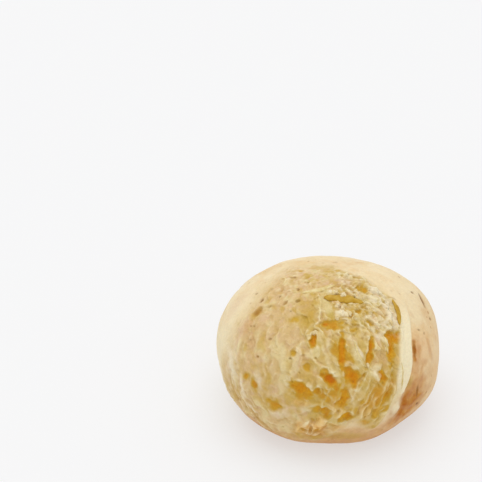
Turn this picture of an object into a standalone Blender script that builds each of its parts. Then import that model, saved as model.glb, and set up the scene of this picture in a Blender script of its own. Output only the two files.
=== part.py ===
"""Pao de queijo: one baked cheese ball, torn open on the side that faces the front and the sky.

Frame: metres, +Z up, origin at the centre of the underside's box, front of the ball towards -Y.
The ball is one solid. Its form is a function of direction from the ball's centre: a squat rounded
body, a few broad bulges, and the relief of the torn face with the lip of crust beside it.
"""

import math

import bmesh
import bpy
import numpy as np

# Driving dimensions, in metres.
WIDTH = 0.0550
DEPTH = 0.0540
HEIGHT = 0.0366
WAIST_HEIGHT = 0.0160
UNDERSIDE_REACH = 0.0223
SQUARENESS = 2.06
FOOT_ROUNDING = 0.0016

# Facets: the solid starts as a cube, cut this many times along each edge.
EDGE_CUTS = 23
CROWDING = 1.35

# Broad bulges of the dough: bearing and altitude of the middle, in degrees, spread in degrees, height in
# metres. A bearing is measured round +Z from the front, towards +X.
BULGES = (
    (95, 48, 34, 0.0011),
    (-95, 40, 30, 0.0004),
    (22, -26, 20, 0.0016),
    (-20, -26, 20, 0.0014),
    (68, -17, 17, 0.0014),
    (45, -32, 14, 0.0003),
    (-60, -34, 20, 0.0016),
    (106, 20, 16, 0.0006),
    (-58, -14, 20, -0.0013),
    (170, 55, 26, -0.0007),
    (175, 12, 34, 0.0006),
    (-140, -10, 30, -0.0006),
    (130, -15, 28, 0.0005),
)

# The torn face looks this far above the horizon. Longitude runs across it, latitude up along it, in degrees.
FACE_ALTITUDE = 36.0
FACE_TOP_LEFT, FACE_TOP_RIGHT, FACE_BOTTOM = 68.0, 38.0, -48.0
FACE_LEFT_HIGH, FACE_LEFT_LOW = -53.0, -84.0
FACE_SWELL = 0.0006

# The lip: a band of stretched crust down the right of the torn face, with a groove inside it.
LIP_LONGITUDE, LIP_LEAN_LOW, LIP_LEAN_HIGH = 42.5, 0.07, 0.20
LIP_TOP, LIP_BOTTOM = 34.0, -40.0
LIP_HEIGHT, LIP_HALF_WIDTH = 0.0007, 0.0020
GROOVE_DEPTH, GROOVE_OFFSET, GROOVE_HALF_WIDTH = 0.0008, 0.0029, 0.0010
CREASE_DEPTH, CREASE_OFFSET, CREASE_HALF_WIDTH = 0.0004, 0.0025, 0.0007

# The fold: where the torn face ends above the smooth foot.
FOLD_LATITUDE, FOLD_HEIGHT, FOLD_HALF_WIDTH = -47.0, 0.0005, 0.0011

# Flakes: raised walls round patches of torn crumb.
FLAKE_COUNT = 90
FLAKE_SEED = 11
FLAKE_STRETCH = 0.62
WALL_HEIGHT, WALL_HALF_WIDTH = 0.0005, 0.0009
FLAKE_STEP = 0.0003

# The widest pockets: longitude, latitude, length, width, tilt from level in degrees, depth.
POCKETS = (
    (-2, -17, 0.0034, 0.0020, -45, 0.0010),
    (-18, -22, 0.0045, 0.0022, -30, 0.0009),
    (-34, -31, 0.0032, 0.0028, 0, 0.0006),
    (6, -4, 0.0078, 0.0022, 88, 0.0008),
    (9, -18, 0.0036, 0.0030, 60, 0.0009),
    (35, 2, 0.0044, 0.0032, 80, 0.0010),
    (31, -8, 0.0046, 0.0036, 85, 0.0008),
    (-5, -36, 0.0038, 0.0026, -30, 0.0007),
    (0, 12, 0.0048, 0.0026, 0, 0.0007),
    (-12, 18, 0.0038, 0.0033, 45, 0.0006),
    (31, -28, 0.0056, 0.0042, 60, 0.0006),
)

CRUST_COLOUR = (0.78, 0.56, 0.30, 1.0)
CRUST_ROUGHNESS = 0.62

MEAN_RADIUS = (WIDTH + DEPTH + HEIGHT) / 6
FACE = math.radians(FACE_ALTITUDE)
FACE_RIGHT = np.array((1.0, 0.0, 0.0))
FACE_UP = np.array((0.0, math.sin(FACE), math.cos(FACE)))
FACE_OUT = np.array((0.0, -math.cos(FACE), math.sin(FACE)))
FACE_AXES = np.array((FACE_RIGHT, -FACE_OUT, FACE_UP))


def smooth_step(low, high, value):
    """0 at low, 1 at high, with an eased ramp between. low may be above high."""
    t = np.clip((value - low) / (high - low), 0, 1)
    return t * t * (3 - 2 * t)


def hump(value, half_width):
    """1 where value is 0, falling away over half_width on both sides."""
    return np.exp(-((value / half_width) ** 2))


def towards(bearing, altitude):
    """The unit direction at a bearing and an altitude, in degrees."""
    b, a = math.radians(bearing), math.radians(altitude)
    return np.array((math.sin(b) * math.cos(a), -math.cos(b) * math.cos(a), math.sin(a)))


def on_face(longitude, latitude):
    """The unit direction at a place on the torn face, in degrees."""
    lon, lat = math.radians(longitude), math.radians(latitude)
    level = FACE_RIGHT * math.sin(lon) + FACE_OUT * math.cos(lon)
    return level * math.cos(lat) + FACE_UP * math.sin(lat)


def crowd(directions):
    """Draws directions together round the middle of the torn face, and apart behind it, unsheared."""
    facing = directions @ FACE_OUT
    near, far = (1 + facing) * CROWDING**2, 1 - facing
    turned = (near - far) / (near + far)
    aside = directions - facing[:, None] * FACE_OUT
    length = np.linalg.norm(aside, axis=1)
    scale = np.sqrt(np.clip(1 - turned**2, 0, None)) / np.maximum(length, 1e-9)
    return turned[:, None] * FACE_OUT + aside * scale[:, None]


def body_radius(directions):
    """Distance from the ball's centre to the smooth body, a rounded solid of three axes."""
    up = directions[:, 2]
    reach = np.where(up > 0, HEIGHT - WAIST_HEIGHT, UNDERSIDE_REACH)
    share = (
        np.abs(directions[:, 0] / (WIDTH / 2)) ** SQUARENESS
        + np.abs(directions[:, 1] / (DEPTH / 2)) ** SQUARENESS
        + np.abs(up / reach) ** SQUARENESS
    )
    return share ** (-1 / SQUARENESS)


def bulge_height(directions):
    height = np.zeros(len(directions))
    for bearing, altitude, spread, rise in BULGES:
        angle = np.degrees(np.arccos(np.clip(directions @ towards(bearing, altitude), -1, 1)))
        height += rise * hump(angle, spread)
    return height


def face_place(directions):
    """Longitude and latitude on the torn face, in degrees."""
    longitude = np.degrees(np.arctan2(directions @ FACE_RIGHT, directions @ FACE_OUT))
    latitude = np.degrees(np.arcsin(np.clip(directions @ FACE_UP, -1, 1)))
    return longitude, latitude


def across_lip(longitude, latitude):
    """Distance from the lip's crest along the surface, in metres, positive towards the smooth crust."""
    lean = np.where(latitude < 0, LIP_LEAN_LOW, LIP_LEAN_HIGH)
    crest = LIP_LONGITUDE + lean * latitude
    return np.radians(longitude - crest) * MEAN_RADIUS * np.cos(np.radians(latitude))


def torn_share(longitude, latitude):
    """1 in the torn face, 0 on smooth crust."""
    left = FACE_LEFT_LOW + (FACE_LEFT_HIGH - FACE_LEFT_LOW) * smooth_step(-20, 10, latitude)
    top = FACE_TOP_LEFT + (FACE_TOP_RIGHT - FACE_TOP_LEFT) * smooth_step(8, 44, longitude)
    return (
        smooth_step(-0.2 * LIP_HALF_WIDTH, -LIP_HALF_WIDTH, across_lip(longitude, latitude))
        * smooth_step(left - 8, left + 8, longitude)
        * smooth_step(top + 6, top - 10, latitude)
        * smooth_step(FACE_BOTTOM - 4, FACE_BOTTOM + 4, latitude)
    )


def lip_height(longitude, latitude):
    along = smooth_step(LIP_TOP + 8, LIP_TOP - 8, latitude)
    along *= smooth_step(LIP_BOTTOM - 6, LIP_BOTTOM + 12, latitude)
    across = across_lip(longitude, latitude)
    band = LIP_HEIGHT * smooth_step(-LIP_HALF_WIDTH, -0.4 * LIP_HALF_WIDTH, across)
    band *= smooth_step(1.3 * LIP_HALF_WIDTH, 0.8 * LIP_HALF_WIDTH, across)
    groove = GROOVE_DEPTH * hump(across + GROOVE_OFFSET, GROOVE_HALF_WIDTH)
    crease = CREASE_DEPTH * hump(across - CREASE_OFFSET, CREASE_HALF_WIDTH)
    return along * (band - groove - crease)


def fold_height(longitude, latitude):
    away = np.radians(latitude - FOLD_LATITUDE) * MEAN_RADIUS
    across = smooth_step(-40, -20, longitude) * smooth_step(46, 32, longitude)
    return across * FOLD_HEIGHT * hump(away, FOLD_HALF_WIDTH)


def flake_height(directions):
    """Raised walls between patches of crumb, each patch set a little high or low."""
    random = np.random.default_rng(FLAKE_SEED)
    longitudes = random.uniform(-90, 50, FLAKE_COUNT)
    latitudes = random.uniform(-52, 60, FLAKE_COUNT)
    steps = random.uniform(-FLAKE_STEP, FLAKE_STEP, FLAKE_COUNT)
    middles = np.array([on_face(*place) for place in zip(longitudes, latitudes)])
    squeeze = np.identity(3) - (1 - FLAKE_STRETCH) * np.outer(FACE_UP, FACE_UP)
    gaps = (directions @ squeeze)[:, None] - (middles @ squeeze)[None]
    distances = np.linalg.norm(gaps, axis=2) * MEAN_RADIUS
    order = np.argsort(distances, axis=1)
    nearest = np.take_along_axis(distances, order[:, :2], axis=1)
    to_wall = (nearest[:, 1] - nearest[:, 0]) / 2
    wall = hump(to_wall, WALL_HALF_WIDTH)
    return WALL_HEIGHT * wall + steps[order[:, 0]] * (1 - wall)


def pocket_depth(directions):
    depth = np.zeros(len(directions))
    for longitude, latitude, length, width, tilt, deep in POCKETS:
        middle = on_face(longitude, latitude)
        right = np.cross(FACE_UP, middle)
        right /= np.linalg.norm(right)
        up = np.cross(middle, right)
        t = math.radians(tilt)
        along = directions @ (right * math.cos(t) + up * math.sin(t)) * MEAN_RADIUS
        aside = directions @ (up * math.cos(t) - right * math.sin(t)) * MEAN_RADIUS
        out = np.hypot(along / (length / 2), aside / (width / 2))
        facing = directions @ middle > 0
        depth = np.maximum(depth, facing * deep * smooth_step(1.5, 0.5, out))
    return depth


def ball_points(directions):
    """The ball's surface in those directions from its centre, standing on z = 0."""
    longitude, latitude = face_place(directions)
    torn = torn_share(longitude, latitude)
    height = bulge_height(directions) + lip_height(longitude, latitude) + fold_height(longitude, latitude)
    height += torn * (FACE_SWELL + flake_height(directions) - pocket_depth(directions))
    points = directions * (body_radius(directions) + height)[:, None]
    points[:, 2] += WAIST_HEIGHT
    return stood(points)


def stood(points):
    """Lays what would be below z = 0 flat on it, with a rounded edge round the foot."""
    z = points[:, 2]
    rounded = (z + FOOT_ROUNDING) ** 2 / (4 * FOOT_ROUNDING)
    flat = np.where(z < -FOOT_ROUNDING, 0.0, np.where(z < FOOT_ROUNDING, rounded, z))
    return np.column_stack((points[:, :2], flat))


def centred(points):
    """Moves the points level, so that the origin is at the middle of their box, and scales them to size."""
    low, high = points.min(axis=0), points.max(axis=0)
    middle = (low + high) / 2
    middle[2] = low[2]
    return (points - middle) * (np.array((WIDTH, DEPTH, HEIGHT)) / (high - low))


def crust_material():
    material = bpy.data.materials.new("crust")
    material.use_nodes = True
    shader = material.node_tree.nodes["Principled BSDF"]
    shader.inputs["Base Color"].default_value = CRUST_COLOUR
    shader.inputs["Roughness"].default_value = CRUST_ROUGHNESS
    shader.inputs["Metallic"].default_value = 0.0
    return material


def cheese_ball(collection):
    """One closed mesh: a cube cut into a grid, rounded to a sphere, turned so that the grid runs along the
    lip, crowded at the torn face and given the form."""
    mesh = bpy.data.meshes.new("cheese_ball")
    cage = bmesh.new()
    bmesh.ops.create_cube(cage, size=2.0)
    bmesh.ops.subdivide_edges(cage, edges=cage.edges[:], cuts=EDGE_CUTS, use_grid_fill=True)
    cage.to_mesh(mesh)
    cage.free()
    grid = np.empty(len(mesh.vertices) * 3)
    mesh.vertices.foreach_get("co", grid)
    cube = np.tan(grid.reshape(-1, 3) * math.pi / 4)
    directions = crowd(cube @ FACE_AXES / np.linalg.norm(cube, axis=1)[:, None])
    mesh.vertices.foreach_set("co", centred(ball_points(directions)).ravel())
    mesh.shade_smooth()
    mesh.materials.append(crust_material())
    ball = bpy.data.objects.new("cheese_ball", mesh)
    collection.objects.link(ball)
    return ball


def main():
    for old in list(bpy.data.objects):
        bpy.data.objects.remove(old)
    collection = bpy.data.collections.new("pao_de_queijo")
    bpy.context.scene.collection.children.link(collection)
    cheese_ball(collection)


main()
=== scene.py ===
"""The looks of a baked cheese ball: its torn, crumbly face, the lip beside it and its smooth crust.

Metres, +Z up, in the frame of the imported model. The ball's surface is a function of direction from its
centre: the same broad form as the CAD solid, with fine relief added. The relief also drives the colours,
through point attributes that the materials read.
"""

import math

import bmesh
import bpy
import numpy as np
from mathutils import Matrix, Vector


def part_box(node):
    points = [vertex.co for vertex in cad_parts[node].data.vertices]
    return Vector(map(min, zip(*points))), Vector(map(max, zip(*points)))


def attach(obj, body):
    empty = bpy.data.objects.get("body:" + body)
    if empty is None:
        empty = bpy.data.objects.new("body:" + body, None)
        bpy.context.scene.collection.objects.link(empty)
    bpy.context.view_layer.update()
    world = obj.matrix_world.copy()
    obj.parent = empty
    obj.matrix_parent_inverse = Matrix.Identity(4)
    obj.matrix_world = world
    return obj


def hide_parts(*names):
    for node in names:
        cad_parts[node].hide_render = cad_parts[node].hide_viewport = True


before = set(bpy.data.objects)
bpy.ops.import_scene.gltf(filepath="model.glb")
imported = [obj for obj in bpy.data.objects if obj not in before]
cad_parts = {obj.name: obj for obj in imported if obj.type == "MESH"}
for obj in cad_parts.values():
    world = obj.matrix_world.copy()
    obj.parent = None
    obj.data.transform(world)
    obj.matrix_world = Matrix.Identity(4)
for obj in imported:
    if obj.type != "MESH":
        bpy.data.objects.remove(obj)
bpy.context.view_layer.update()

BALL_LOW, BALL_HIGH = (np.array(corner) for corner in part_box("cheese_ball"))
WIDTH, DEPTH, HEIGHT = BALL_HIGH - BALL_LOW
MM = 0.001
# Farther than anything is measured.
FAR = 9.0

# Broad form, as the solid has it. Bulges: bearing, altitude, spread, rise (mm).
WAIST_HEIGHT = 0.437 * HEIGHT
UNDERSIDE_REACH = 0.609 * HEIGHT
SQUARENESS = 2.06
FOOT_ROUNDING = 1.6 * MM
RADIUS = (WIDTH + DEPTH + HEIGHT) / 6
BULGES = (
    (95, 48, 34, 1.1), (-95, 40, 30, 0.4), (22, -26, 20, 1.6), (-20, -26, 20, 1.4), (68, -17, 17, 1.4),
    (45, -32, 14, 0.3), (-60, -34, 20, 1.6), (106, 20, 16, 0.6), (-58, -14, 20, -1.3), (170, 55, 26, -0.7),
    (175, 12, 34, 0.6), (-140, -10, 30, -0.6), (130, -15, 28, 0.5),
)

# The torn face looks this far above the horizon. Longitude runs across it, latitude up along it, in
# degrees. Inside its edges it swells out a little.
FACE_ALTITUDE = 36
FACE = math.radians(FACE_ALTITUDE)
FACE_RIGHT = np.array((1.0, 0, 0))
FACE_UP = np.array((0, math.sin(FACE), math.cos(FACE)))
FACE_OUT = np.array((0, -math.cos(FACE), math.sin(FACE)))
FACE_AXES = np.array((FACE_RIGHT, -FACE_OUT, FACE_UP))
# Its left edge: latitudes, and the longitudes there. Its top and bottom edges: longitudes, and the
# latitudes there.
LEFT_EDGE = ((-50, -30, -19, -3, 13, 27, 39, 52, 75), (-70, -86, -84, -68, -58, -55, -55, -60, -80))
TOP_EDGE = ((-90, -60, -41, -13, 10, 22, 30, 37, 42, 50), (60, 68, 74, 76, 74, 64, 54, 43, 34, 20))
BOTTOM_EDGE = ((-90, -60, -32, -16, -2, 8, 18, 32, 45), (-40, -47, -56, -58, -54, -46, -44, -45, -42))
FACE_SWELL = 0.6 * MM

# The lip: a band of stretched crust down the right of the torn face, with a groove inside it and a crease
# outside. A fold runs along the foot of the torn face.
LIP_LONGITUDE, LIP_LEAN_LOW, LIP_LEAN_HIGH = 42.5, 0.07, 0.2
LIP_TOP, LIP_BOTTOM = 34, -40
LIP_HEIGHT, LIP_HALF_WIDTH = 0.7 * MM, 2.0 * MM
GROOVE_DEPTH, GROOVE_OFFSET, GROOVE_HALF_WIDTH = 0.8 * MM, 2.9 * MM, 0.9 * MM
CREASE_DEPTH, CREASE_OFFSET, CREASE_HALF_WIDTH = 0.4 * MM, 2.5 * MM, 0.6 * MM
FOLD_HEIGHT, FOLD_HALF_WIDTH = 0.25 * MM, 1.2 * MM

# The surface mesh: a cube cut this many times along each edge, drawn together at the torn face. What stands
# out from the surface is told from its average after this many rounds of blurring.
EDGE_CUTS = 127
CROWDING = 1.8
BLUR_ROUNDS = 30

# Finer relief: small and smaller curds, mounds, rims of pockets, pits, waves of the skin, the back's lumps.
CURD_SIZE, CURD_RADIUS, CURD_HEIGHT = 1.2 * MM, 0.62 * MM, 0.3 * MM
GRAIN_SIZE, GRAIN_RADIUS, GRAIN_HEIGHT = 0.7 * MM, 0.36 * MM, 0.07 * MM
MOUND_HEIGHT, SOFT_MOUND_HEIGHT, RIM_HEIGHT = 0.2 * MM, 0.06 * MM, 0.22 * MM
PIT_SPACING, TORN_PIT_DEPTH, SKIN_PIT_DEPTH = 2.2 * MM, 0.32 * MM, 0.12 * MM
SKIN_WAVE, SKIN_RIPPLE, BACK_LUMP = 0.1 * MM, 0.06 * MM, 0.3 * MM

# Strips of shred or thread: sides round each, and steps between its places.
STRIP_SIDES = 12
SHRED_STEPS, THREAD_STEPS = 8, 6

# In the tables below an oval is five numbers: longitude, latitude, length, width (mm) and tilt from level.

# Pockets of melted cheese in the torn face: oval, depth (mm), softness of the edge, how golden, how orange.
POCKETS = (
    (-10, 2, 3, 1.4, 84, 0.7, 0.3, 1, 0.45), (-0.5, -18.5, 4.4, 2.3, -52, 0.6, 0.3, 1, 1),
    (-16.5, -23, 4.9, 2.5, -34, 0.6, 0.5, 1, 0.3), (-15, -26, 3.6, 2.6, -10, 0.3, 0.9, 0.8, 0),
    (-34.5, -32, 3.2, 2.8, 10, 0.35, 0.6, 0.75, 0.15), (6, -3.5, 8, 1.5, 88, 0.7, 0.5, 1, 0.45),
    (10.5, -16.5, 4.4, 2.8, -60, 0.6, 0.5, 1, 0.6), (9, -14, 3, 1.6, -40, 0.5, 0.6, 0.8, 0.3),
    (15, -19, 3.2, 0.8, 58, 0.6, 0.4, 0.7, 0.3), (36, 4.5, 4.2, 2.8, 6, 0.6, 0.4, 1, 0.35),
    (33, -2.5, 6.4, 1.9, 84, 0.6, 0.5, 1, 0.2), (20, -7, 2.4, 1.5, 80, 0.6, 0.6, 0.95, 0.15),
    (27, -8, 5, 3.6, 20, 0.35, 1, 0.2, 0), (21.5, 0, 3.8, 1.1, 80, 0.6, 0.5, 0.95, 0.6),
    (27.5, -17, 3.8, 1.6, -60, 0.5, 0.4, 0.95, 0.2), (7, -27.5, 4, 2.3, 76, 0.4, 0.6, 1, 0.1),
    (9, -39.5, 3, 1.8, 20, 0.5, 0.5, 1, 0), (-6, -35, 3.2, 1.7, -10, 0.5, 0.6, 0.85, 0.1),
    (-2.5, -37, 3, 1.7, -66, 0.4, 0.6, 0.85, 0.1), (-8, -24, 1.6, 1.3, 60, 0.4, 0.6, 0.85, 0),
    (-10, -48, 1.6, 0.8, 40, 0.35, 0.5, 0.6, 0.4), (0, 12, 5, 2.3, 0, 0.4, 0.8, 0.75, 0.15),
    (-3, 12, 1.6, 1.1, 0, 0.4, 0.6, 0.8, 0.6), (12, 17.5, 2, 1, 50, 0.45, 0.5, 0.8, 0.4),
    (18, 20.5, 1.7, 1.2, 10, 0.45, 0.5, 0.65, 0.1), (25, 38, 3, 2.2, 76, 0.45, 0.8, 0.6, 0),
    (27, 36, 1.6, 1.1, 60, 0.35, 0.5, 0.85, 0.1), (23, 13, 2.4, 1.1, -54, 0.4, 0.6, 0.6, 0),
    (24, 8, 1.8, 1.2, -40, 0.4, 0.6, 0.6, 0), (23, -43, 2.6, 1.6, 10, 0.3, 0.7, 0.8, 0.6),
    (31, -27.5, 4.4, 2, 66, 0.4, 0.7, 0.9, 0.2), (26, -26, 6.6, 5, 60, 0.1, 1.2, 0.5, 0.25),
    (-1, -27, 6, 4.6, -40, 0.1, 1.2, 0.6, 0.15), (2, -4, 4.8, 3.4, 84, 0.35, 1, 0.62, 0),
    (-13, 18, 6, 3.6, 84, 0.35, 1.1, 0.38, 0), (-44, -21, 3, 1.5, 78, 0.3, 0.7, 0.7, 0.4),
    (-48, -16, 1.9, 1.4, 40, 0.2, 0.7, 0.6, 0.3), (-13, -12, 1.8, 1.2, -60, 0.35, 0.8, 0.6, 0),
    (-20, -4, 2.2, 1.1, 74, 0.35, 0.8, 0.5, 0), (-22, 15, 2.4, 1.7, 20, 0.2, 1, 0.5, 0),
    (-14, -47, 2.2, 0.7, 70, 0.45, 0.4, 0.6, 0.5), (-19, -48, 1.4, 0.7, -50, 0.35, 0.5, 0.5, 0.2),
    (11, 63, 2.2, 1, 0, 0.3, 0.8, 0.7, 0), (-38, 60, 1.6, 0.9, 20, 0.2, 0.8, 0.5, 0.2),
)

# Tints of the torn face, by kind: oval, strength.
TINTS = {
    "olive": (
        (0, 18, 3, 2.2, 84, 1), (-13, 17, 7, 5, 84, 0.8), (-6, 0, 4, 2.4, 80, 0.8),
        (-30, -13, 9, 6.5, 84, 0.5), (-55, -38, 8, 2.5, -40, 0.7), (-36, -36, 9, 5, 10, 0.5),
        (2, -6, 7, 3.6, 84, 0.7), (-28, -13, 2.6, 1.4, 80, 1), (-40, -11, 1.6, 1, 50, 1),
        (-33, -19, 1.8, 1.4, 0, 0.9), (28, 30, 4, 2, -40, 0.5), (47, -20, 3, 2.2, 60, 0.9),
        (-76, -26, 8, 2, 70, 0.6), (-59, -14, 4, 1.2, 78, 0.6), (-40, 22, 4, 2, 20, 0.7),
        (-31, 25, 2.6, 1.6, 60, 0.7), (-22, 28, 2.4, 1.6, 20, 0.6), (6, -56, 12, 3, 0, 0.9),
        (-19, 7, 4, 5, 80, 0.6), (-15, -4, 7, 3.4, 80, 0.8),
    ),
    "pink": (
        (-72, 22, 9, 5, 80, 0.6), (-39, 1, 3, 2.2, 80, 0.9), (-27, -22, 3.2, 2.6, 0, 0.9),
        (-54, 6, 9, 3, 84, 0.9), (-16, -9, 8, 4.4, 80, 0.9), (-40, 15, 3.4, 2.4, 60, 0.9),
        (-46, -3, 9, 4.4, 84, 0.55), (27, -9, 5, 4.6, 80, 0.9), (-30, 36, 12, 6, 20, 0.6),
        (5, 46, 12, 5, 0, 0.9), (-34, 24, 9, 5, 30, 0.5), (-14, -44, 5, 3, 0, 0.7),
    ),
    "cream": (
        (13, -7, 5.5, 3.4, -60, 0.6), (22, -14, 3, 2.4, 20, 0.9), (31, 26, 6, 3, -50, 0.7),
        (39, -29, 6, 1.6, 78, 0.6),
    ),
    "golden": (
        (20, -9, 3, 2, 70, 0.4), (12, 9, 3.6, 2.4, 70, 0.5), (30, -46, 2.6, 1.4, 20, 0.5),
        (24, 20, 4, 2.4, -60, 0.45), (-1, -30, 12, 7, -70, 0.35), (27, -26, 8, 5, 60, 0.25),
        (-16, -26, 7, 4, -30, 0.4), (9, -10, 8, 3, -80, 0.6), (27, 76, 3, 2, 0, 0.4),
        (-110, 62, 4, 2, 20, 0.35), (-47, 18, 3.4, 2.4, 70, 0.5),
    ),
    "white": (
        (-60, -11, 8, 4.5, 82, 0.75), (-41, -18, 5, 2.4, 80, 0.65), (-14, -34, 4, 2.2, 0, 0.45),
        (-54, -22, 5, 1.2, 78, 0.7), (-61, -19, 4, 0.9, 76, 0.7), (-54, -35, 4, 0.9, -50, 0.6),
        (37, 15, 6.4, 3.2, 82, 1), (35, 34, 5, 3, -50, 0.9), (40, 28, 3.6, 1.6, -60, 0.8),
        (6, 20, 2.4, 1.6, -20, 0.6), (24, -14, 2.2, 1.2, 60, 0.8), (27, 5, 2.4, 1.6, 60, 0.6),
        (15, -4, 3, 0.8, -62, 0.9), (23, 34, 2.2, 1.2, -30, 0.7), (-31, -36, 5, 2.6, 10, 0.5),
        (2, 37, 2.6, 1, 0, 0.7),
    ),
    "peach": (
        (4, -47, 3, 1.8, 10, 0.7), (-12, -47, 7, 4, 10, 1), (-20, -44, 4, 2.4, 40, 0.7),
        (24, -32, 8, 5, 60, 0.5), (-6, -42, 3, 2.4, 60, 0.8), (-17, -30, 4, 2.4, -20, 0.6),
        (3, -33, 5, 4, -70, 0.6), (33, -23, 5, 2, 70, 0.6),
    ),
}

# Raised folds of pulled dough: width, height (mm), then longitudes and latitudes along each.
STRANDS = (
    (0.9, 0.4, (-9, 9), (-7, 14), (-6, 19), (-5, 25)),
    (1.3, 0.45, (-6, 9), (-5, 0), (-2, -7), (1, -14), (4, -21)),
    (1, 0.35, (-1, 9), (-2, 0), (1, -8), (4, -14)), (0.7, 0.4, (9, -22), (11, -27), (13, -34)),
    (1.1, 0.45, (8, 9), (11, 3), (13, -3), (15, -9)), (0.6, 0.55, (13, -2), (14, -5), (15, -8), (18, -12)),
    (0.8, 0.45, (20, 28), (23, 26), (27, 23), (30, 20), (33, 16)),
    (0.8, 0.45, (20, 16), (22, 15), (26, 12), (30, 10), (36, 8)),
    (0.8, 0.4, (22, 10), (23, 8), (26, 3), (27, -2)),
    (0.6, 0.28, (9, -32), (10, -29), (13, -24), (15, -19), (18, -14)),
    (0.6, 0.26, (12, -38), (13, -31), (16, -26), (19, -21)),
    (0.5, 0.4, (41, -17), (41.5, -24), (43, -32), (44, -40)),
    (0.9, 0.35, (-20, -4), (-18, -2), (-14, 1), (-12, 6)),
    (0.7, 0.3, (-8, -18), (-6, -22), (-2, -26), (2, -31)),
    (0.7, 0.4, (-4, -31), (-1, -32), (3, -36), (7, -36)), (1, 0.4, (-1, -43), (3, -40), (8, -36)),
    (1, 0.12, (-20, -43), (-18, -47), (-18, -54)), (0.9, 0.12, (-10, -42), (-13, -48), (-17, -56)),
    (0.8, 0.14, (-16, -40), (-12, -42), (-7, -43)), (1, 0.32, (-52, -15), (-55, -23), (-58, -30)),
    (0.8, 0.24, (-66, -14), (-70, -22), (-76, -30)), (0.7, 0.26, (-60, -12), (-64, -20), (-68, -28)),
    (0.8, 0.3, (-49, -21), (-51, -28), (-48, -34)), (0.8, 0.34, (-57, -29), (-56, -34), (-52, -38)),
    (0.7, 0.28, (-66, -32), (-62, -38), (-56, -42)), (0.9, 0.34, (-48, -27), (-46, -31), (-42, -35)),
    (0.8, 0.28, (-40, -26), (-38, -31), (-35, -37)), (0.7, 0.24, (-50, -39), (-44, -42), (-37, -44)),
    (0.9, 0.14, (-36, -4), (-36, -12), (-37, -20)), (0.8, 0.12, (-32, -4), (-31, -12), (-32, -20)),
    (0.7, 0.4, (8, 16), (12, 19), (17, 17)), (0.9, 0.14, (-27, 0), (-26, -8), (-25, -14)),
    (0.9, 0.12, (-56, 4), (-54, -8), (-55, -16)),
)

# Fine fibres low on the right of the face, where each starts; they run down and to the left.
FIBRES = ((31, -18), (21, -17), (24, -19), (26, -23), (22, -30), (34, -21), (35, -30), (5, -25), (0, -22))
FIBRE_WIDTH, FIBRE_HEIGHT = 0.5, 0.21

# Finer folds strewn over the face.
STRAND_COUNT = 120
STRAND_SEED = 5

# Larger white curds: oval, height (mm).
CURDS = (
    (6, 19, 3, 2, -20, 0.5), (24, -13, 2.6, 1.6, 50, 0.3), (29, 14, 3.2, 2.2, -40, 0.4),
    (24, 9, 2, 1.2, -50, 0.35), (24, -16, 2.4, 1.6, -50, 0.3), (36.5, 16, 3.8, 1.8, 84, 0.5),
    (34, 14, 2.2, 1.6, 40, 0.35), (36, 34, 4, 2.2, -50, 0.4), (30, 30, 2.6, 1.8, -30, 0.4),
    (3, 36, 2.4, 1.4, -10, 0.35), (10, 33, 1.8, 1.3, 20, 0.35), (29, 3, 2.2, 1.3, -60, 0.35),
    (5, 25, 1.6, 1.4, 0, 0.4), (-16, -43, 2.6, 1.2, 40, 0.35), (-6, -42, 2.4, 1.8, 60, 0.4),
    (-17, -50, 2, 0.8, -50, 0.3), (-11, -51, 2.4, 0.8, 20, 0.3), (-11, -45, 1.6, 0.8, -60, 0.3),
)

# Shreds of cheese baked into the face: width, thickness, rise (mm), then places along each.
SHREDS = (
    (2.1, 0.6, 0.15, (-4.5, 31.8), (2, 31), (8, 30.2), (15, 28.5), (22, 26)),
    (1.5, 0.6, 0.1, (43.6, 27), (43.2, 21), (42, 16), (40.4, 11)),
)

# Fine threads of dough pulled thin across the face, as the shreds are given.
THREADS = (
    (1.2, 0.4, 0.05, (-22, 35), (-16, 36), (-9, 38), (-2, 40.5), (5, 43)),
    (0.5, 0.4, 0.05, (12, 3), (13, -2), (14.5, -7), (18, -12)),
    (0.45, 0.3, 0, (-6, 24), (-7, 20), (-6, 15)), (0.45, 0.3, 0.05, (2, 38), (2.5, 35.5), (3, 33)),
    (0.45, 0.3, 0.05, (29, 4), (30, -1), (31, -5)), (0.4, 0.3, 0.05, (38, -9), (40, -16), (41, -23)),
)

# Loose lumps of curd: oval, rise (mm).
CRUMBS = (
    (8, 23, 1.4, 1, 60, -0.05), (11, 19, 1.8, 1.2, -40, -0.05), (4, 16, 1.2, 0.9, 20, -0.1),
    (22, -13, 1.7, 1, 20, -0.2), (19, -11, 1.3, 0.8, -60, 0), (-9, 7, 1.6, 1, 30, -0.1),
    (30, 24, 1.6, 1.1, -50, -0.1), (35, 12, 1.5, 1, -70, -0.1), (24, 22, 1.3, 0.9, -30, -0.1),
    (5, 36, 1.2, 0.9, 80, -0.1),
)

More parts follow.
